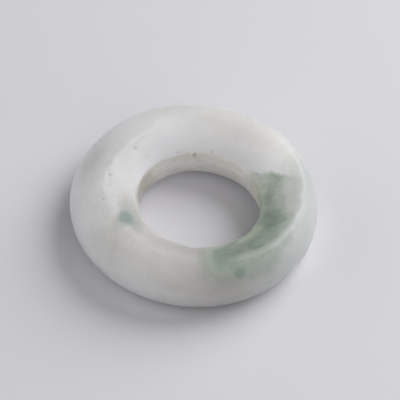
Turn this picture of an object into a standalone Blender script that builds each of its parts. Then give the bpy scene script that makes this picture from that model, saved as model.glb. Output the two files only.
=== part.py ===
"""A small thick jade ring disc, lying flat: rounded edge, hollowed faces, hole drilled from both sides.

Units are metres. The resting face is at z = 0, and the outer outline is centred on the z axis.
The ring is hand made: the outline, the hollow in each face and the two drillings that meet inside the
hole each have a centre of their own. So it is a loft: its section is worked out afresh at each angle.
"""

import math

import bmesh
import bpy

# Outline
OUTER_DIAMETER = 0.0300
THICKNESS = 0.00705
EQUATOR_HEIGHT = 0.00330  # where the rounded edge is widest, above the resting face
LOWER_EDGE_DEPTH = 0.0031  # how far in the rounded edge reaches below, seen from above

# Crest, the highest circle of the upper face, and the hollow inside it
CREST_INSET = 0.0031  # from the outer diameter to the crest
CREST_CENTRE = (0.00110, 0.00020)
UPPER_HOLLOW_DEPTH = 0.00192
HOLLOW_CURVE = 1.45  # 1 is a straight cone, more starts level at the crest and steepens inwards
CREASE_CURVE = 1.0  # the same, on the side where the crest is a crease
CREASE_ANGLE = math.radians(-21.0)  # the middle of that side, from +x towards +y
CREASE_SPREAD = math.radians(42.0)

# Underside: a narrow flat ring that it rests on, and the hollow inside it
FLAT_INSET = 0.0046  # from the outer diameter to the inner edge of the flat ring
FLAT_CENTRE = (0.00050, -0.00030)
LOWER_HOLLOW_DEPTH = 0.00171
LOWER_HOLLOW_CURVE = 1.15

# Hole, drilled from both faces to a ridge
UPPER_HOLE_DIAMETER = 0.01516
UPPER_HOLE_CENTRE = (0.00063, -0.00048)
LOWER_HOLE_DIAMETER = 0.01494
LOWER_HOLE_CENTRE = (0.00078, -0.00057)
RIDGE_DIAMETER = 0.01456
RIDGE_DEPTH = 0.00150  # below the upper rim of the hole
RIM_WEAR = 0.00030  # how far the rims and the ridge are worn round

# Fineness of the surface
TURN_STEPS = 96
EDGE_SEGMENTS = 9
UPPER_HOLLOW_SEGMENTS = 7
LOWER_HOLLOW_SEGMENTS = 4


def clear_scene():
    for old in list(bpy.data.objects):
        bpy.data.objects.remove(old, do_unlink=True)


def jade_material():
    material = bpy.data.materials.new("pale_jade")
    material.use_nodes = True
    shader = material.node_tree.nodes["Principled BSDF"]
    shader.inputs["Base Color"].default_value = (0.62, 0.65, 0.61, 1.0)
    shader.inputs["Roughness"].default_value = 0.22
    shader.inputs["Metallic"].default_value = 0.0
    return material


def circle(radius, height, centre):
    """One circle of the ring, kept as radius, height, centre x, centre y."""
    return (radius, height, centre[0], centre[1])


def between(first, second, share):
    return tuple(a + (b - a) * share for a, b in zip(first, second))


def edge_circles():
    """The rounded edge, from the resting face out to the equator and up to just below the crest."""
    outer = OUTER_DIAMETER / 2
    crest = outer - CREST_INSET
    circles = []
    for i in range(EDGE_SEGMENTS):
        angle = math.pi / 2 * i / EDGE_SEGMENTS
        radius = outer - LOWER_EDGE_DEPTH * (1 - math.sin(angle))
        circles.append(circle(radius, EQUATOR_HEIGHT * (1 - math.cos(angle)), (0.0, 0.0)))
    for i in range(EDGE_SEGMENTS):
        angle = math.pi / 2 * i / EDGE_SEGMENTS
        radius = crest + (outer - crest) * math.cos(angle)
        height = EQUATOR_HEIGHT + (THICKNESS - EQUATOR_HEIGHT) * math.sin(angle)
        circles.append(circle(radius, height, between((0.0, 0.0), CREST_CENTRE, 1 - math.cos(angle))))
    return circles


def hollow_circles(start, end, curve, segments):
    """A hollow face from the circle start, where it is highest, to the rim of the hole at end."""
    circles = []
    for i in range(segments + 1):
        share = i / segments
        radius, _, x, y = between(start, end, share)
        height = start[1] + (end[1] - start[1]) * share**curve
        circles.append((radius, height, x, y))
    return circles


def crest_curve(angle):
    """How the upper hollow starts at this angle: as a crease on one side, level on the others."""
    away = (angle - CREASE_ANGLE + math.pi) % (2 * math.pi) - math.pi
    crease = math.exp(-((away / CREASE_SPREAD) ** 2))
    return HOLLOW_CURVE + (CREASE_CURVE - HOLLOW_CURVE) * crease


def worn(before, corner, after):
    """Three circles in place of a corner, rounded over RIM_WEAR on either side of it."""
    ends = []
    for neighbour in (before, after):
        length = math.hypot(neighbour[0] - corner[0], neighbour[1] - corner[1])
        ends.append(between(corner, neighbour, min(RIM_WEAR / length, 0.45)))
    middle = between(between(ends[0], ends[1], 0.5), corner, 0.5)
    return [ends[0], middle, ends[1]]


def section(angle):
    """The circles of the ring, once round its section, for the points that lie at this angle."""
    outer = OUTER_DIAMETER / 2
    crest = circle(outer - CREST_INSET, THICKNESS, CREST_CENTRE)
    upper_rim = circle(UPPER_HOLE_DIAMETER / 2, THICKNESS - UPPER_HOLLOW_DEPTH, UPPER_HOLE_CENTRE)
    lower_rim = circle(LOWER_HOLE_DIAMETER / 2, LOWER_HOLLOW_DEPTH, LOWER_HOLE_CENTRE)
    ridge_centre = between(UPPER_HOLE_CENTRE, LOWER_HOLE_CENTRE, 0.5)
    ridge = circle(RIDGE_DIAMETER / 2, upper_rim[1] - RIDGE_DEPTH, ridge_centre)
    flat_edge = circle(outer - FLAT_INSET, 0.0, FLAT_CENTRE)

    upper = hollow_circles(crest, upper_rim, crest_curve(angle), UPPER_HOLLOW_SEGMENTS)
    lower = hollow_circles(flat_edge, lower_rim, LOWER_HOLLOW_CURVE, LOWER_HOLLOW_SEGMENTS)
    lower.reverse()
    return (
        edge_circles()
        + upper[:-1]
        + worn(upper[-2], upper_rim, ridge)
        + worn(upper_rim, ridge, lower_rim)
        + worn(ridge, lower_rim, lower[1])
        + lower[1:]
    )


def point(angle, row):
    radius, height, x, y = row
    return (x + radius * math.cos(angle), y + radius * math.sin(angle), height)


def ring(name):
    """The closed loft: a loop of points round each section, and quads from each loop to the next."""
    bm = bmesh.new()
    loops = []
    for step in range(TURN_STEPS):
        angle = 2 * math.pi * step / TURN_STEPS
        loops.append([bm.verts.new(point(angle, row)) for row in section(angle)])
    for this, following in zip(loops, loops[1:] + loops[:1]):
        count = len(this)
        for i in range(count):
            j = (i + 1) % count
            bm.faces.new((this[i], following[i], following[j], this[j]))
    mesh = bpy.data.meshes.new(name)
    bm.to_mesh(mesh)
    bm.free()
    return bpy.data.objects.new(name, mesh)


def build():
    clear_scene()
    parts = bpy.data.collections.new("jade_disc")
    bpy.context.scene.collection.children.link(parts)
    disc = ring("jade_disc")
    parts.objects.link(disc)
    disc.data.materials.append(jade_material())
    disc.data.shade_smooth()
    disc.data.set_sharp_from_angle(angle=math.radians(40.0))
    return disc


build()
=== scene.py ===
"""Looks for the jade ring disc: one piece of pale jade with a green vein, on a plain pale floor.

The ring has the solid's own section, worked out again on a finer grid, then worn, planed and
pitted. Lengths of the shape are metres, as in the frame. Places in the stone are millimetres.
"""

import math
import random

import bpy
import numpy as np
from mathutils import Matrix, Vector, noise


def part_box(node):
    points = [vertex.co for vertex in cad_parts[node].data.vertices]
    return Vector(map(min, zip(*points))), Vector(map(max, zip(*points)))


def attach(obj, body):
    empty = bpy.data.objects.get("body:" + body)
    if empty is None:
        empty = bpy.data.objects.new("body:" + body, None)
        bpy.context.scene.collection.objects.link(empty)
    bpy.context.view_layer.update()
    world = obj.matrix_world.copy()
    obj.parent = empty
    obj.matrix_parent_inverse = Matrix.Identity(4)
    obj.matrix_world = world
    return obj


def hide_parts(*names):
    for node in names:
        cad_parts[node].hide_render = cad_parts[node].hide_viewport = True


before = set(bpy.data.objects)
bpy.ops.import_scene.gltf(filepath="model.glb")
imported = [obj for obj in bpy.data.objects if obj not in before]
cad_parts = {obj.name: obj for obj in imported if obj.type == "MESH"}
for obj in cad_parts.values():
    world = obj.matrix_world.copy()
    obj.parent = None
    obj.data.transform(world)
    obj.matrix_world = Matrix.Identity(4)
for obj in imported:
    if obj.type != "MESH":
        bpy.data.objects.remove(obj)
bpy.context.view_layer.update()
NODE = "jade_disc"

# Section of the ring, as the solid has it
LOW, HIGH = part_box(NODE)
OUTER_RADIUS = (HIGH.x - LOW.x) / 2
THICKNESS = HIGH.z
EQUATOR_HEIGHT = 0.00330
LOWER_EDGE_DEPTH = 0.0031
CREST_RADIUS = OUTER_RADIUS - 0.0031
CREST_CENTRE = (0.00110, 0.00020)
UPPER_HOLLOW_DEPTH = 0.00192
HOLLOW_CURVE = 1.45
CREASE_CURVE = 1.0
EDGE_CURVE = 1.18  # beside the crease the rounded edge falls a little quicker than the solid's
FLAT_RADIUS = OUTER_RADIUS - 0.0046
FLAT_CENTRE = (0.00050, -0.00030)
LOWER_HOLLOW_DEPTH = 0.00171
LOWER_HOLLOW_CURVE = 1.15
UPPER_HOLE_RADIUS = 0.00758
UPPER_HOLE_CENTRE = (0.00063, -0.00048)
LOWER_HOLE_RADIUS = 0.00747
LOWER_HOLE_CENTRE = (0.00078, -0.00057)
RIDGE_RADIUS = 0.00728
RIDGE_DEPTH = 0.00150

# Sides on which the crest is a crease: middle and spread in degrees, and how much of one it is
CREASES = ((-19.0, 46.0, 1.0), (172.0, 36.0, 0.6))

# Points of the visible mesh, round the ring and round its section, and of the path it is made from
AROUND = 450
SECTION = 210
EDGE_STEPS = 300
UPPER_HOLLOW_STEPS = 300
UPPER_DRILLING_STEPS = 100
LOWER_DRILLING_STEPS = 120
LOWER_HOLLOW_STEPS = 220
FLAT_STEPS = 100
EVEN_STEPS = 4000
EDGE_SOFTNESS = 0.00013  # how far the corners of the section are worn round
CREST_SOFTNESS = 0.0014  # the same for the crest, where it isn't a crease

# Where the crest strays from its circle: middle and spread in degrees, how far inwards in metres
CREST_DENTS = (
    (146.0, 16.0, 0.00085),
    (131.0, 9.0, 0.00050),
    (170.0, 4.0, 0.00035),
    (-171.0, 7.0, -0.00025),
    (-151.0, 9.0, 0.00055),
    (-1.5, 3.5, 0.00032),
    (-17.0, 3.0, 0.00022),
    (-50.0, 14.0, -0.00025),
    (75.0, 12.0, 0.00030),
    (-100.0, 16.0, 0.00030),
)
DENT_REACH = 0.0020  # how far along the section a stray carries the surface with it
RIM_DENTS = (  # the same for the upper rim of the hole
    (-146.0, 7.0, -0.00016),
    (-118.0, 5.0, -0.00012),
    (-92.0, 8.0, -0.00017),
    (-66.0, 5.0, -0.00013),
    (-38.0, 9.0, -0.00012),
    (178.0, 6.0, -0.00012),
    (118.0, 7.0, -0.00010),
)
RIM_DENT_REACH = 0.0008

# Hand work and wear, in millimetres. It only ever takes stone away.
MM_PER_M = 1000.0
RESTING_BAND = 0.5  # it grows from nothing at the resting face to its full depth at this height
WAVES = ((5.0, 0.06), (1.3, 0.010))  # size and depth
FACETS = (  # place, direction that the flat faces, depth
    ((-12.8, 2.9, 6.0), (-0.64, 0.22, 0.73), 0.30),
    ((-10.6, -7.2, 6.2), (-0.55, -0.35, 0.76), 0.05),
    ((-4.0, -11.6, 6.9), (-0.10, -0.25, 0.96), 0.05),
    ((5.4, 13.2, 5.6), (0.30, 0.62, 0.72), 0.05),
    ((13.6, 3.6, 5.4), (0.80, 0.25, 0.55), 0.06),
    ((8.5, -11.4, 5.5), (0.45, -0.60, 0.66), 0.05),
    ((-6.5, 12.6, 3.0), (-0.45, 0.88, -0.05), 0.06),
    ((9.5, 11.4, 2.2), (0.60, 0.72, -0.30), 0.05),
    ((-2.5, -14.2, 1.8), (-0.15, -0.90, -0.35), 0.05),
)
FACET_REACH = 4.0  # a flat is cut no further than this from its place
PITS = (  # place, radius, depth, how dirty
    ((-0.4, 6.95, 4.7), 0.26, 0.16, 1.0),
    ((1.6, 7.2, 5.15), 0.24, 0.10, 0.25),
    ((-7.7, 5.5, 6.4), 0.26, 0.10, 0.40),
    ((-7.2, 5.2, 6.3), 0.18, 0.06, 0.20),
    ((-10.8, -3.6, 7.0), 0.22, 0.08, 0.40),
    ((-11.2, -3.3, 7.0), 0.20, 0.07, 0.25),
    ((-10.6, 1.1, 7.0), 0.30, 0.10, 0.35),
    ((-10.3, 0.5, 6.9), 0.30, 0.12, 0.60),
    ((-10.5, -0.2, 7.0), 0.22, 0.08, 0.30),
    ((-10.2, -0.9, 6.9), 0.24, 0.10, 0.45),
    ((-10.9, 2.4, 7.0), 0.45, 0.12, 0.0),
    ((-10.3, 3.7, 6.9), 0.60, 0.13, 0.0),
    ((-10.9, -0.9, 7.0), 0.50, 0.12, 0.0),
    ((-9.5, 5.0, 6.9), 0.50, 0.11, 0.0),
    ((-9.6, -1.2, 6.8), 0.34, 0.07, 0.0),
    ((-9.2, -2.4, 6.6), 0.22, 0.08, 0.35),
    ((-4.3, 5.9, 5.3), 0.30, 0.07, 0.10),
    ((-9.2, 7.9, 6.9), 0.22, 0.05, 0.0),
    ((13.2, -0.4, 6.9), 0.40, 0.09, 0.0),
    ((12.3, -4.9, 6.9), 0.40, 0.08, 0.0),
    ((10.7, -7.6, 6.9), 0.30, 0.06, 0.0),
)
SCRATCHES = (  # from, to, half width, depth, how dirty
    ((-2.6, 6.60, 5.0), (-1.3, 6.90, 4.9), 0.18, 0.10, 0.35),
    ((-6.6, 4.1, 5.7), (-6.1, 5.1, 5.7), 0.16, 0.06, 0.20),
    ((-9.2, -1.3, 6.5), (-9.0, -2.4, 6.5), 0.14, 0.06, 0.15),
    ((-8.1, 2.0, 5.9), (-7.9, 1.1, 5.9), 0.14, 0.05, 0.15),
    ((-8.4, -1.6, 6.1), (-8.1, -2.4, 6.0), 0.14, 0.05, 0.15),
)
STRAY_MARKS = 46  # shallow pits at random places, also on the sides that the photo doesn't show
STRAY_RADII = (0.16, 0.34)
STRAY_DEPTHS = (0.015, 0.05)

# Camera, fitted to the photo
VIEW_ELEVATION = math.radians(48.70)
VIEW_ROLL = math.radians(5.37)
VIEW_DISTANCE = 30 * OUTER_RADIUS
PIXELS_PER_RADIUS = 124.26
IMAGE_WIDTH = 400
SENSOR_WIDTH = 36.0
AIM_RIGHT = 0.00076
AIM_UP = 0.00061

# Lights: azimuth and elevation in degrees, size in metres, power in watts
LIGHT_DISTANCE = 0.50
LIGHTS = {
    "key": (43, 38, 0.50, 2.36),
    "left_fill": (-176, 12, 0.80, 1.34),
    "front_fill": (-56, 47, 0.70, 1.04),
}
SKY_COLOUR = (0.97, 0.97, 1.0, 1.0)
SKY_STRENGTH = 0.02
FLOOR_SIZE = 1.2
FLOOR_COLOUR = (0.80, 0.79, 0.83, 1.0)
FLOOR_ROUGHNESS = 0.6

# Stone colours, and colours that paint light and shade into the stone
WHITE = (0.90, 0.895, 0.89)
# grey of the mottle, and painted shade in the clouds
GREY = (0.51, 0.495, 0.48)
# dusky grey, laid on as painted shade on the front
DUSKY_TONE_AND_PAINTED_SHADE = (0.37, 0.36, 0.345)
# cool grey painted shade
COOL_PAINTED_SHADE = (0.42, 0.45, 0.44)
# pinkish tone of the stone, laid on as painted light at the back
PINKISH_TONE_AND_PAINTED_LIGHT = (0.97, 0.93, 0.925)
GREEN_TINT = (0.735, 0.775, 0.75)
GREEN = (0.36, 0.405, 0.36)
DARK_GREEN = (0.235, 0.285, 0.25)
YELLOW_GREEN = (0.45, 0.52, 0.40)
BLUE_GREEN = (0.25, 0.31, 0.295)
STAIN = (0.86, 0.82, 0.765)
BROWN = (0.60, 0.53, 0.41)
OLIVE = (0.42, 0.40, 0.35)
DIRT = (0.16, 0.15, 0.13)

# Uneven borders of what is in the stone: noise scale, detail, and reach in millimetres
STONE_WANDER = (0.7, 3.0, 1.5)
SPOT_WANDER = (0.7, 3.0, 0.4)
DIRT_WANDER = (4.0, 2.0, 0.4)

# Clouds of painted light and shade, laid partly over the stone's own tone: painted light on the
# back of the hollow, painted shade on the front, on the right flank, on the left facet, and over
# the crest and the left hollow where highlights fall. Place, radii, strength, colour
TONE_LIGHT_AND_SHADE_CLOUDS = (
    # painted light on the back of the hollow, over its pinkish tone
    ((1.0, 8.3, 5.4), (8.5, 2.6, 2.2), 0.95, PINKISH_TONE_AND_PAINTED_LIGHT),
    # painted shade on the left facet
    ((-13.0, 2.9, 5.8), (1.6, 2.8, 1.8), 0.60, GREY),
    # painted shade over the highlight on the left hollow
    ((-10.2, 0.5, 6.9), (3.0, 7.0, 2.2), 0.48, GREY),
    # painted shade on the front left and the front of the hollow, over a slightly greyer tone
    ((-7.4, -5.0, 5.2), (2.7, 4.4, 1.8), 0.88, DUSKY_TONE_AND_PAINTED_SHADE),
    ((-0.5, -8.8, 5.4), (8.0, 2.8, 2.4), 0.90, DUSKY_TONE_AND_PAINTED_SHADE),
    # painted shade on the front flank
    ((-3.0, -12.5, 5.6), (8.0, 3.5, 3.0), 0.40, GREY),
    # painted shade on the front right
    ((4.5, -12.5, 4.5), (6.5, 4.4, 9.0), 0.85, DUSKY_TONE_AND_PAINTED_SHADE),
    # painted shade on the right flank and the front right flank, which face the key lamp
    ((13.2, 3.6, 5.0), (2.7, 10.0, 7.0), 0.95, COOL_PAINTED_SHADE),
    ((11.8, -9.0, 3.5), (4.4, 6.0, 6.0), 0.75, COOL_PAINTED_SHADE),
    # painted shade over the highlight on the back right crest
    ((10.0, 11.0, 6.0), (8.0, 3.6, 4.0), 0.85, GREY),
    # painted shade along the back crest
    ((-1.0, 12.9, 6.6), (9.0, 2.3, 2.6), 0.60, GREY),
)
TONE_LIGHT_AND_SHADE_SOFTNESS = 0.9
MOTTLE_SHARE = 0.14

# The green vein seen from above: from, to, radius, strength. It runs down through the ring.
VEIN = (
    ((8.9, 3.6), (9.3, -3.6), 2.7, 0.58),
    ((8.2, -7.0), (2.7, -10.6), 2.9, 1.02),
    ((6.9, -5.2), (2.4, -8.4), 1.5, 0.42),
    ((4.6, -12.2), (9.4, -11.0), 1.9, 0.42),
    ((11.9, 3.6), (12.3, -4.4), 1.5, 0.20),
    ((10.8, -7.0), (8.4, -10.2), 1.4, 0.24),
    ((14.6, 2.0), (14.3, -5.0), 1.4, -0.45),
    ((14.2, -6.0), (12.2, -9.8), 1.4, -0.60),
    ((9.7, 3.8), (9.9, 2.4), 0.8, 0.18),
    ((7.4, 4.0), (8.2, 1.8), 1.4, 0.06),
    ((8.6, 0.4), (8.8, -2.2), 1.1, 0.42),
    ((8.4, -3.4), (9.8, -3.9), 1.1, 0.36),
    ((10.5, -2.2), (10.8, -3.6), 0.7, 0.34),
    ((7.7, -8.6), (6.6, -8.0), 0.9, 0.30),
    ((4.6, -9.9), (3.0, -10.6), 1.5, 0.34),
    ((11.6, 1.6), (11.4, -1.6), 1.2, -0.24),
    ((8.0, -4.8), (6.4, -6.6), 0.6, -0.34),
    ((9.4, -6.0), (8.6, -7.0), 0.8, -0.14),
)
VEIN_FLECKS = ((0.55, 0.5, 1.0), (2.2, 0.6, 0.35))  # noise scale, roughness and strength
# The vein's colours: the strengths between which each comes in, and how it is laid on
VEIN_TINTS = (
    (GREEN_TINT, 0.0, 0.45, "MULTIPLY"),
    (GREEN, 0.22, 0.90, "MIX"),
    (DARK_GREEN, 0.62, 1.40, "MIX"),
)
LEVEL = (1.0, 1.0, 0.0)  # takes the height out of a place
VEIN_FADE = (-6.9, -3.4)  # it fades between these heights, counted downwards
VEIN_FADE_BY_HOLE = (-4.4, -2.0)  # the same near the hole
BY_HOLE = (10.5, 12.5)  # near the hole ends between these distances from the axis
VEIN_LEAST = 0.10  # what is left of it further down
VEIN_LEFT_FADE = (-4.0, -0.2)  # it fades to the left between these, counted leftwards
VEIN_BACK_FACING = (0.30, 1.0, 0.0)  # its straight border at the back faces this way
VEIN_BACK_FADE = (6.22, 7.02)
CREST_LINE_CENTRE = (1.1, 0.2)  # along the crest it is paler: partly less green, partly a painted highlight along the crease
CREST_LINE_RADIUS = 11.9
CREST_LINE_WIDTH = (0.15, 0.65)
CREST_LINE_END = (-7.0, -5.0)
CREST_PALENESS_AND_HIGHLIGHT = 0.54
# Where the green turns yellowish: from, to, radius, strength
YELLOWISH = (
    ((7.9, 2.0), (8.0, -0.6), 0.8, 0.50),
    ((7.9, -4.4), (6.3, -6.8), 0.6, 0.55),
    ((2.2, -8.6), (2.6, -12.0), 0.9, 0.16),
)

# The blue-green spot: place, radii, strength
SPOT = (
    ((-7.9, -5.9, 6.2), (0.80, 1.10, 2.0), 0.92),
    ((-6.7, -6.9, 6.2), (0.75, 0.95, 2.0), 0.38),
    ((-8.5, -6.9, 6.2), (0.80, 0.90, 2.0), 0.22),
    ((-7.5, -4.9, 6.2), (1.40, 1.90, 2.0), 0.30),
)
SPOT_SOFTNESS = 0.75
FLECK_PLACE = (6.2, -12.4, 6.2)  # a single dark fleck on the front edge
FLECK_RADII = (0.60, 0.70, 0.60)
FLECK_SOFTNESS = 0.85

# The hole's stain
BORE_PLACE = (0.66, -0.50, 3.2)
BORE_RADII = (7.62, 7.62, 40.0)
BORE_SOFTNESS = 0.012
STAIN_SHARE = 0.85
BROWN_SHARE = 0.45
GROOVE_STRETCH = (0.5, 0.5, 1.6)
DARK_STAINS = (  # place, radii, strength
    ((-6.6, 1.4, 3.6), (1.9, 3.6, 3.0), 0.95),
    ((-2.6, 6.4, 4.9), (3.6, 2.0, 0.7), 0.40),
    ((1.0, 7.0, 4.2), (1.6, 1.0, 0.5), 0.25),
)
STAIN_SOFTNESS = 0.8

# Roughness where the polish is best and worst
GLOSSIEST = 0.33
DULLEST = 0.45


def mix(a, b, t):
    return a + (b - a) * t


def section_stations(hollow_curve, edge_curve):
    """Circles of the ring, once round its section: rows of radius, height, centre x, centre y."""
    above = THICKNESS - EQUATOR_HEIGHT
    quarter = math.pi / 2
    middle = (0.0, 0.0)
    upper_rim = THICKNESS - UPPER_HOLLOW_DEPTH
    ridge = upper_rim - RIDGE_DEPTH
    ridge_centre = tuple((a + b) / 2 for a, b in zip(UPPER_HOLE_CENTRE, LOWER_HOLE_CENTRE))
    rows = []

    def run(count, radius, height, centre):
        for i in range(count):
            t = i / count
            x, y = centre(t)
            rows.append((radius(t), height(t), x, y))

    def between(a, b):
        return lambda t: (mix(a[0], b[0], t), mix(a[1], b[1], t))

    # lower edge, from the resting face out to the equator
    run(
        EDGE_STEPS,
        lambda t: OUTER_RADIUS - LOWER_EDGE_DEPTH * (1 - math.sin(quarter * t)),
        lambda t: EQUATOR_HEIGHT * (1 - math.cos(quarter * t)),
        lambda t: middle,
    )
    # upper edge, from the equator up to the crest
    run(
        EDGE_STEPS,
        lambda t: mix(CREST_RADIUS, OUTER_RADIUS, math.cos(quarter * t) ** edge_curve),
        lambda t: EQUATOR_HEIGHT + above * math.sin(quarter * t) ** edge_curve,
        lambda t: tuple(c * (1 - math.cos(quarter * t)) for c in CREST_CENTRE),
    )
    # upper hollow
    run(
        UPPER_HOLLOW_STEPS,
        lambda t: mix(CREST_RADIUS, UPPER_HOLE_RADIUS, t),
        lambda t: THICKNESS - UPPER_HOLLOW_DEPTH * t**hollow_curve,
        between(CREST_CENTRE, UPPER_HOLE_CENTRE),
    )
    # upper drilling, ridge, lower drilling
    run(
        UPPER_DRILLING_STEPS,
        lambda t: mix(UPPER_HOLE_RADIUS, RIDGE_RADIUS, t),
        lambda t: mix(upper_rim, ridge, t),
        between(UPPER_HOLE_CENTRE, ridge_centre),
    )
    run(
        LOWER_DRILLING_STEPS,
        lambda t: mix(RIDGE_RADIUS, LOWER_HOLE_RADIUS, t),
        lambda t: mix(ridge, LOWER_HOLLOW_DEPTH, t),
        between(ridge_centre, LOWER_HOLE_CENTRE),
    )
    # lower hollow
    run(
        LOWER_HOLLOW_STEPS,
        lambda t: mix(LOWER_HOLE_RADIUS, FLAT_RADIUS, t),
        lambda t: LOWER_HOLLOW_DEPTH * (1 - t) ** LOWER_HOLLOW_CURVE,
        between(LOWER_HOLE_CENTRE, FLAT_CENTRE),
    )
    # flat ring that it rests on
    run(
        FLAT_STEPS,
        lambda t: mix(FLAT_RADIUS, OUTER_RADIUS - LOWER_EDGE_DEPTH, t),
        lambda t: 0.0,
        between(FLAT_CENTRE, middle),
    )
    return np.array(rows)


def evenly(rows, count):
    """The same closed path as count rows at even steps of its length, and that length."""
    closed = np.vstack([rows, rows[:1]])
    steps = np.hypot(np.diff(closed[:, 0]), np.diff(closed[:, 1]))
    along = np.concatenate([[0.0], np.cumsum(steps)])
    at = np.linspace(0.0, along[-1], count, endpoint=False)
    columns = [np.interp(at, along, closed[:, k]) for k in range(rows.shape[1])]
    return np.stack(columns, 1), along[-1]


def averaged(rows, reach):
    """A smooth average of the closed path over reach rows either way."""
    reach = max(1, round(reach))
    weights = np.hanning(2 * reach + 3)[1:-1]
    weights /= weights.sum()
    total = np.zeros_like(rows)
    for shift, weight in zip(range(-reach, reach + 1), weights):
        total += weight * np.roll(rows, shift, axis=0)
    return total


def worn(rows, crest_softness):
    """Rounds the corners of the section over EDGE_SOFTNESS, and its crest over crest_softness."""
    fine, length = evenly(rows, EVEN_STEPS)
    step = length / len(fine)
    crest = fine[:, 1].argmax()
    half = len(fine) // 2
    away = np.abs((np.arange(len(fine)) - crest + half) % len(fine) - half) * step
    share = np.clip(2 - away / crest_softness, 0, 1)
    crisp = averaged(fine, EDGE_SOFTNESS / step)
    return mix(crisp, averaged(fine, crest_softness / step), share[:, None])


def spread_over(angle, lumps, power):
    """The sum at each angle of lumps that have a middle and a spread in degrees, and a height."""
    total = np.zeros_like(angle)
    for middle, spread, height in lumps:
        away = (np.degrees(angle) - middle + 180) % 360 - 180
        total += height * np.exp(-(np.abs(away / spread) ** power))
    return total


def near_row(rows, length, row, reach):
    """1 at one row and 0 from reach away along the section, with a smooth fall between."""
    count = len(rows)
    away = np.abs((np.arange(count) - row + count // 2) % count - count // 2)
    share = np.clip(1 - away * length / count / reach, 0, 1)
    return share * share * (3 - 2 * share)


def ring_points():
    """Points of the ring, as an array over angle, place on the section, and x y z."""
    level = worn(section_stations(HOLLOW_CURVE, 1.0), CREST_SOFTNESS)
    level, length = evenly(level, SECTION)
    creased = worn(section_stations(CREASE_CURVE, EDGE_CURVE), EDGE_SOFTNESS)
    creased, _ = evenly(creased, SECTION)
    angle = np.linspace(0.0, 2 * math.pi, AROUND, endpoint=False)
    crease = np.clip(spread_over(angle, CREASES, 4), 0, 1)
    rows = mix(level[None], creased[None], crease[:, None, None])
    rim_height = THICKNESS - UPPER_HOLLOW_DEPTH
    rim_away = np.hypot(level[:, 0] - UPPER_HOLE_RADIUS, level[:, 1] - rim_height)
    crest_share = near_row(level, length, creased[:, 1].argmax(), DENT_REACH)
    rim_share = near_row(level, length, rim_away.argmin(), RIM_DENT_REACH)
    rows[..., 0] -= spread_over(angle, CREST_DENTS, 2)[:, None] * crest_share
    rows[..., 0] -= spread_over(angle, RIM_DENTS, 2)[:, None] * rim_share
    x = rows[..., 2] + rows[..., 0] * np.cos(angle)[:, None]
    y = rows[..., 3] + rows[..., 0] * np.sin(angle)[:, None]
    return np.stack([x, y, rows[..., 1]], 2)


def normals(points):
    """Outward unit normals of the grid of points."""
    along = np.roll(points, -1, axis=0) - np.roll(points, 1, axis=0)
    across = np.roll(points, -1, axis=1) - np.roll(points, 1, axis=1)
    out = np.cross(along, across)
    return out / np.linalg.norm(out, axis=2, keepdims=True)


def noise_over(points, size, seed):
    """Smooth noise at each point, from 0 to 1, with lumps of about this size."""
    flat = points.reshape(-1, 3) / size + seed
    values = [noise.fractal(Vector(p), 1.0, 2.0, 3) for p in flat.tolist()]
    return np.clip(np.array(values).reshape(points.shape[:2]) / 1.4 + 0.5, 0, 1)


def waves(points):
    """Depth of the slow waves that hand grinding leaves."""
    return sum(depth * noise_over(points, size, 3.0 + size) for size, depth in WAVES)


def planed(points):
    """Cuts the flats off: what stands proud of each facet's plane goes down to it."""
    for place, facing, depth in FACETS:
        facing = np.array(facing) / np.linalg.norm(facing)
        away = np.linalg.norm(points - place, axis=2)
        nearest = points[np.unravel_index(away.argmin(), away.shape)]
        proud = (points - nearest) @ facing + depth
        points = points - facing * np.where(away < FACET_REACH, np.maximum(proud, 0), 0)[..., None]
    return points


def distance_to_line(points, start, end):
    start, run = np.array(start), np.subtract(end, start)
    share = np.clip((points - start) @ run / (run @ run), 0, 1)
    return np.linalg.norm(points - start - share[..., None] * run, axis=2)


def marks(points):
    """Depth of the pits and scratches."""
    depth = np.zeros(points.shape[:2])
    for place, radius, deep, _ in PITS:
        depth += deep * np.exp(-((np.linalg.norm(points - place, axis=2) / radius) ** 2))
    for start, end, radius, deep, _ in SCRATCHES:
        depth += deep * np.exp(-((distance_to_line(points, start, end) / radius) ** 2))
    draw = random.Random(8)
    for _ in range(STRAY_MARKS):
        place = points[draw.randrange(points.shape[0]), draw.randrange(points.shape[1])]
        radius, deep = draw.uniform(*STRAY_RADII), draw.uniform(*STRAY_DEPTHS)
        depth += deep * np.exp(-((np.linalg.norm(points - place, axis=2) / radius) ** 2))
    return depth


def handled(points):
    """The ring after its hand work and wear. Its resting face stays as it is."""
    points = points * MM_PER_M
    free = np.clip(points[..., 2] / RESTING_BAND, 0, 1)[..., None]
    flat = points + (planed(points) - points) * free
    depth = (waves(flat) + marks(flat))[..., None]
    return (flat - normals(flat) * depth * free) / MM_PER_M


def grid_mesh(name, points):
    """A closed ring of quads from points over angle and place on the section."""
    around, section = points.shape[:2]
    index = np.arange(around * section).reshape(around, section)
    right = np.roll(index, -1, axis=0)
    up = np.roll(index, -1, axis=1)
    both = np.roll(right, -1, axis=1)
    quads = np.stack([index, right, both, up], 2).reshape(-1, 4)
    mesh = bpy.data.meshes.new(name)
    mesh.from_pydata(points.reshape(-1, 3).tolist(), [], quads.tolist())
    mesh.polygons.foreach_set("use_smooth", np.ones(len(quads), bool))
    mesh.update()
    piece = bpy.data.objects.new(name, mesh)
    bpy.context.scene.collection.objects.link(piece)
    return piece


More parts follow.
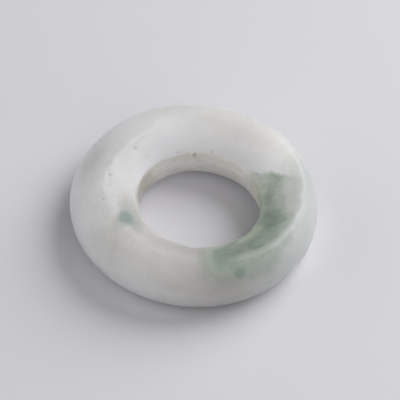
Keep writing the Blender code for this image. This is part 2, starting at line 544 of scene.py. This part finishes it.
class Graph:
    """A material's nodes, made by calls. Each call gives the new node's output."""

    def __init__(self, name):
        self.material = bpy.data.materials.new(name)
        self.material.use_nodes = True
        self.tree = self.material.node_tree
        self.shader = self.tree.nodes["Principled BSDF"]

    def add(self, kind, settings, values, output=0):
        """values maps an input's place or name to a number, a colour or another node's output."""
        node = self.tree.nodes.new(kind)
        for name, value in settings.items():
            setattr(node, name, value)
        for place, value in values.items():
            self.put(node.inputs[place], value)
        return node.outputs[output]

    def put(self, socket, value):
        if isinstance(value, bpy.types.NodeSocket):
            self.tree.links.new(value, socket)
        else:
            socket.default_value = value

    def math(self, operation, *values):
        return self.add("ShaderNodeMath", {"operation": operation}, dict(enumerate(values)))

    def product(self, first, *others):
        for value in others:
            first = self.math("MULTIPLY", first, value)
        return first

    def total(self, first, *others):
        for value in others:
            first = self.math("ADD", first, value)
        return first

    def vector(self, operation, *values, output=0):
        values = dict(enumerate(values))
        return self.add("ShaderNodeVectorMath", {"operation": operation}, values, output)

    def noise(self, place, scale, detail, roughness, output=0):
        values = {"Vector": place, "Scale": scale, "Detail": detail, "Roughness": roughness}
        return self.add("ShaderNodeTexNoise", {}, values, output)

    def wandering(self, place, scale, detail, reach):
        """The place moved by noise, so that what is drawn there has uneven borders."""
        middle = (0.5, 0.5, 0.5)
        away = self.vector("SUBTRACT", self.noise(place, scale, detail, 0.6, output=1), middle)
        return self.vector("ADD", place, self.vector("MULTIPLY", away, (reach, reach, reach)))

    def ramp(self, value, low, high):
        """0 where value is below low, 1 above high, and even between."""
        return self.add("ShaderNodeMapRange", {}, {0: value, 1: low, 2: high})

    def fall(self, value, near, far):
        """1 where value is below near, 0 above far, and a smooth step between."""
        values = {0: value, 1: near, 2: far, 3: 1.0, 4: 0.0}
        return self.add("ShaderNodeMapRange", {"interpolation_type": "SMOOTHSTEP"}, values)

    def paint(self, colour, share, tint, blend="MIX"):
        """The colour with this share of a tint on it."""
        values = {0: share, 6: colour, 7: (*tint, 1.0)}
        return self.add("ShaderNodeMix", {"data_type": "RGBA", "blend_type": blend}, values, 2)

    def lump(self, place, centre, radii, softness):
        """1 inside an ellipsoid and 0 outside it, with a soft edge of this share of its size."""
        away = self.vector("DIVIDE", self.vector("SUBTRACT", place, centre), radii)
        return self.fall(self.vector("LENGTH", away, output=1), 1 - softness, 1 + softness)

    def glow(self, place, start, end, radius):
        """1 on the line from start to end, and fading evenly away from it over this radius."""
        run = Vector(end) - Vector(start)
        away = self.vector("SUBTRACT", place, start)
        if run.length > 0:
            share = self.vector("DOT_PRODUCT", away, tuple(run / run.length_squared), output=1)
            share = self.math("MINIMUM", self.math("MAXIMUM", share, 0.0), 1.0)
            values = {0: tuple(run), "Scale": share}
            nearest = self.add("ShaderNodeVectorMath", {"operation": "SCALE"}, values)
            away = self.vector("SUBTRACT", away, nearest)
        square = self.vector("DOT_PRODUCT", away, away, output=1)
        return self.math("EXPONENT", self.math("MULTIPLY", square, -1 / radius**2))

    def glows(self, place, lines):
        """The sum of glows along lines that each have a start, an end, a radius and a strength."""
        return self.total(*(
            self.product(self.glow(place, start, end, radius), strength)
            for start, end, radius, strength in lines
        ))


def from_above(lines):
    """Lines that are given as seen from above, laid at height 0."""
    return [((*start, 0.0), (*end, 0.0), *rest) for start, end, *rest in lines]


def vein_flecks(graph, place):
    """A factor about 1 that breaks the vein up into darker and paler flecks."""
    flecks = [
        graph.product(graph.math("SUBTRACT", graph.noise(place, scale, 3.0, rough), 0.5), strength)
        for scale, rough, strength in VEIN_FLECKS
    ]
    return graph.total(*flecks, 1.0)


def vein_depth(graph, place):
    """How much of the vein is left at each depth. On the side of the hole it starts deeper."""
    depth = graph.vector("DOT_PRODUCT", place, (0.0, 0.0, -1.0), output=1)
    reach = graph.vector("LENGTH", graph.vector("MULTIPLY", place, LEVEL), output=1)
    by_hole = graph.product(graph.fall(reach, *BY_HOLE), graph.fall(depth, *VEIN_FADE_BY_HOLE))
    share = graph.math("MAXIMUM", by_hole, graph.fall(depth, *VEIN_FADE))
    return graph.math("MAXIMUM", share, VEIN_LEAST)


def vein_on_crest(graph, place, leftwards):
    """1, but less along the crest, where the vein is paler: partly less green there, partly a
    painted highlight along the crease.
    """
    away = graph.vector("MULTIPLY", place, LEVEL)
    away = graph.vector("SUBTRACT", away, (*CREST_LINE_CENTRE, 0.0))
    away = graph.math("SUBTRACT", graph.vector("LENGTH", away, output=1), CREST_LINE_RADIUS)
    near = graph.fall(graph.math("ABSOLUTE", away), *CREST_LINE_WIDTH)
    paler = graph.product(near, graph.fall(leftwards, *CREST_LINE_END), -CREST_PALENESS_AND_HIGHLIGHT)
    return graph.math("ADD", paler, 1.0)


def vein_strength(graph, place, bent):
    """How green the stone is: 0 outside the vein, about 1 in its dark flecks."""
    level = graph.vector("MULTIPLY", bent, LEVEL)
    leftwards = graph.vector("DOT_PRODUCT", level, (-1.0, 0.0, 0.0), output=1)
    backwards = graph.vector("DOT_PRODUCT", level, VEIN_BACK_FACING, output=1)
    return graph.product(
        graph.glows(level, from_above(VEIN)),
        vein_flecks(graph, place),
        vein_depth(graph, place),
        vein_on_crest(graph, place, leftwards),
        graph.fall(leftwards, *VEIN_LEFT_FADE),
        graph.fall(backwards, *VEIN_BACK_FADE),
    )


def clouded_with_painted_light_and_shade(graph, place, bent):
    """White stone with a faint mottle, and clouds of painted light and shade that lie partly over
    its own tone.
    """
    mottle = graph.ramp(graph.noise(place, 0.28, 4.0, 0.55), 0.38, 0.62)
    colour = graph.paint((*WHITE, 1.0), graph.product(mottle, MOTTLE_SHARE), GREY)
    for centre, radii, strength, tint in TONE_LIGHT_AND_SHADE_CLOUDS:
        share = graph.product(graph.lump(bent, centre, radii, TONE_LIGHT_AND_SHADE_SOFTNESS), strength)
        colour = graph.paint(colour, share, tint)
    return colour


def stained(graph, colour, place, bent):
    """The colour with the stain of the hole on it, darkest in the grooves of the drilling."""
    bore = graph.lump(place, BORE_PLACE, BORE_RADII, BORE_SOFTNESS)
    colour = graph.paint(colour, graph.product(bore, STAIN_SHARE), STAIN)
    grooves = graph.noise(graph.vector("MULTIPLY", place, GROOVE_STRETCH), 0.9, 4.0, 0.6)
    grooves = graph.product(bore, graph.ramp(grooves, 0.42, 0.70), BROWN_SHARE)
    colour = graph.paint(colour, grooves, BROWN)
    for centre, radii, strength in DARK_STAINS:
        share = graph.product(bore, graph.lump(bent, centre, radii, STAIN_SOFTNESS), strength)
        colour = graph.paint(colour, share, OLIVE)
    return colour


def veined(graph, colour, place, bent):
    """The colour with the green vein in it."""
    vein = vein_strength(graph, place, bent)
    for tint, low, high, blend in VEIN_TINTS:
        colour = graph.paint(colour, graph.ramp(vein, low, high), tint, blend)
    level = graph.vector("MULTIPLY", bent, LEVEL)
    return graph.paint(colour, graph.glows(level, from_above(YELLOWISH)), YELLOW_GREEN)


def spotted(graph, colour, place):
    """The colour with the dark fleck and the blue-green spot in it."""
    near = graph.wandering(place, *SPOT_WANDER)
    fleck = graph.product(graph.lump(near, FLECK_PLACE, FLECK_RADII, FLECK_SOFTNESS), 1.2)
    colour = graph.paint(colour, graph.math("MINIMUM", fleck, 1.0), DARK_GREEN)
    spot = graph.total(*(
        graph.product(graph.lump(near, centre, radii, SPOT_SOFTNESS), strength)
        for centre, radii, strength in SPOT
    ))
    return graph.paint(colour, graph.ramp(spot, 0.0, 1.0), BLUE_GREEN)


def dirty_marks():
    """The pits and scratches that hold dirt, as lines with a radius and a strength."""
    pits = [(place, place, radius * 0.9, dirt) for place, radius, _, dirt in PITS]
    scratches = [(start, end, width * 0.8, dirt) for start, end, width, _, dirt in SCRATCHES]
    return [mark for mark in pits + scratches if mark[3] > 0]


def jade_material():
    graph = Graph("jade")
    place = graph.add("ShaderNodeTexCoord", {}, {}, "Object")
    place = graph.vector("MULTIPLY", place, (MM_PER_M, MM_PER_M, MM_PER_M))
    bent = graph.wandering(place, *STONE_WANDER)

    # the stone's colour, with painted light and shade in it
    colour = clouded_with_painted_light_and_shade(graph, place, bent)
    colour = stained(graph, colour, place, bent)
    colour = veined(graph, colour, place, bent)
    colour = spotted(graph, colour, place)
    dirt = graph.glows(graph.wandering(place, *DIRT_WANDER), dirty_marks())
    colour = graph.paint(colour, graph.ramp(dirt, 0.04, 1.0), DIRT)
    graph.put(graph.shader.inputs["Base Color"], colour)

    values = {0: graph.noise(place, 1.1, 3.0, 0.55), 1: 0.3, 2: 0.7, 3: GLOSSIEST, 4: DULLEST}
    graph.put(graph.shader.inputs["Roughness"], graph.add("ShaderNodeMapRange", {}, values))
    graph.shader.inputs["IOR"].default_value = 1.6
    graph.shader.inputs["Specular IOR Level"].default_value = 0.3
    graph.shader.inputs["Subsurface Weight"].default_value = 1.0
    graph.shader.inputs["Subsurface Radius"].default_value = (1.0, 1.0, 0.9)
    graph.shader.inputs["Subsurface Scale"].default_value = 0.02
    return graph.material


def floor_material():
    material = bpy.data.materials.new("floor")
    material.use_nodes = True
    shader = material.node_tree.nodes["Principled BSDF"]
    shader.inputs["Base Color"].default_value = FLOOR_COLOUR
    shader.inputs["Roughness"].default_value = FLOOR_ROUGHNESS
    return material


def make_floor():
    bpy.ops.mesh.primitive_plane_add(size=FLOOR_SIZE, location=(0, 0, 0))
    floor = bpy.context.object
    floor.name = "floor"
    floor.data.materials.append(floor_material())


def soft_light(name, azimuth, elevation, size, power):
    """A round soft light that faces the ring from LIGHT_DISTANCE."""
    light = bpy.data.lights.new(name, "AREA")
    light.shape = "DISK"
    light.size = size
    light.energy = power
    lamp = bpy.data.objects.new(name, light)
    bpy.context.scene.collection.objects.link(lamp)
    azimuth, elevation = math.radians(azimuth), math.radians(elevation)
    level = math.cos(elevation)
    direction = Vector((level * math.cos(azimuth), level * math.sin(azimuth), math.sin(elevation)))
    lamp.location = direction * LIGHT_DISTANCE
    lamp.rotation_euler = direction.to_track_quat("Z", "Y").to_euler()


def make_lights():
    for name, settings in LIGHTS.items():
        soft_light(name, *settings)
    world = bpy.data.worlds.new("world")
    world.use_nodes = True
    background = world.node_tree.nodes["Background"]
    background.inputs["Color"].default_value = SKY_COLOUR
    background.inputs["Strength"].default_value = SKY_STRENGTH
    bpy.context.scene.world = world


def make_camera():
    """Looks along +Y and down, rolled a little. Its lens gives the ring its size in the photo."""
    data = bpy.data.cameras.new("camera")
    data.sensor_width = SENSOR_WIDTH
    distance_in_radii = VIEW_DISTANCE / OUTER_RADIUS
    data.lens = PIXELS_PER_RADIUS * distance_in_radii / IMAGE_WIDTH * SENSOR_WIDTH
    data.clip_start = 0.01
    camera = bpy.data.objects.new("camera", data)
    bpy.context.scene.collection.objects.link(camera)
    back = Vector((0, -math.cos(VIEW_ELEVATION), math.sin(VIEW_ELEVATION)))
    turn = back.to_track_quat("Z", "Y").to_matrix() @ Matrix.Rotation(VIEW_ROLL, 3, "Z")
    aim = Vector((0, 0, EQUATOR_HEIGHT)) + turn @ Vector((AIM_RIGHT, AIM_UP, 0))
    camera.matrix_world = Matrix.Translation(aim + back * VIEW_DISTANCE) @ turn.to_4x4()
    bpy.context.scene.camera = camera


bpy.context.scene.view_settings.view_transform = "Standard"
make_camera()
make_lights()
make_floor()
disc = grid_mesh("jade_ring", handled(ring_points()))
disc.data.materials.append(jade_material())
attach(disc, "root")
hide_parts(NODE)
